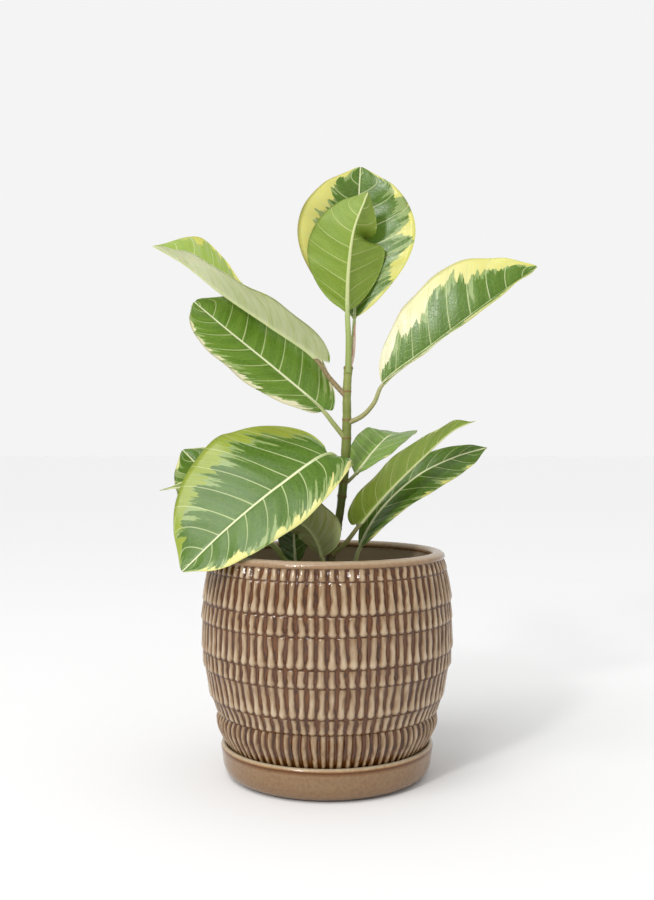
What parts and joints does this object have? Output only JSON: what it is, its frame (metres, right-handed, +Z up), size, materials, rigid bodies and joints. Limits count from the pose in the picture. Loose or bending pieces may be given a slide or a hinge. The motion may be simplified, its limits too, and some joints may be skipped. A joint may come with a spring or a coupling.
{
  "type": "potted lofty fig",
  "caption": "Young variegated fig with an upright stem and broad two-coloured leaves, in a barrel-shaped carved stoneware pot standing on a round saucer.",
  "frame": {"origin": "centre of the saucer's underside, on the axis of the pot", "axes": "+Z up along the pot's axis, -Y towards the side that the plant is viewed from, +X to the right"},
  "size_m": [0.299, 0.1998, 0.483],
  "materials": {
    "saucer_glaze": "satin",
    "pot_glaze": "gloss",
    "potting_mix": "matte",
    "stem_bark": "satin",
    "bud_sheath": "satin",
    "leaf_variegated": "satin",
    "leaf_green": "satin"
  },
  "bodies": {
    "root": {"saucer": "saucer_glaze", "pot": "pot_glaze", "potting_soil": "potting_mix", "main_stem": "stem_bark", "terminal_bud": "bud_sheath", "leaf_crown_back": "leaf_variegated", "leaf_crown_front": "leaf_variegated", "leaf_upper_left": "leaf_variegated", "leaf_mid_left": "leaf_variegated", "leaf_upper_right": "leaf_variegated", "leaf_low_left_front": "leaf_variegated", "leaf_low_left_back": "leaf_green", "leaf_low_left_edge": "leaf_green", "leaf_low_right_small": "leaf_green", "leaf_low_right_mid": "leaf_green", "leaf_low_right": "leaf_green", "leaf_low_centre": "leaf_green", "leaf_low_centre_dark": "leaf_green"}
  },
  "joints": []
}
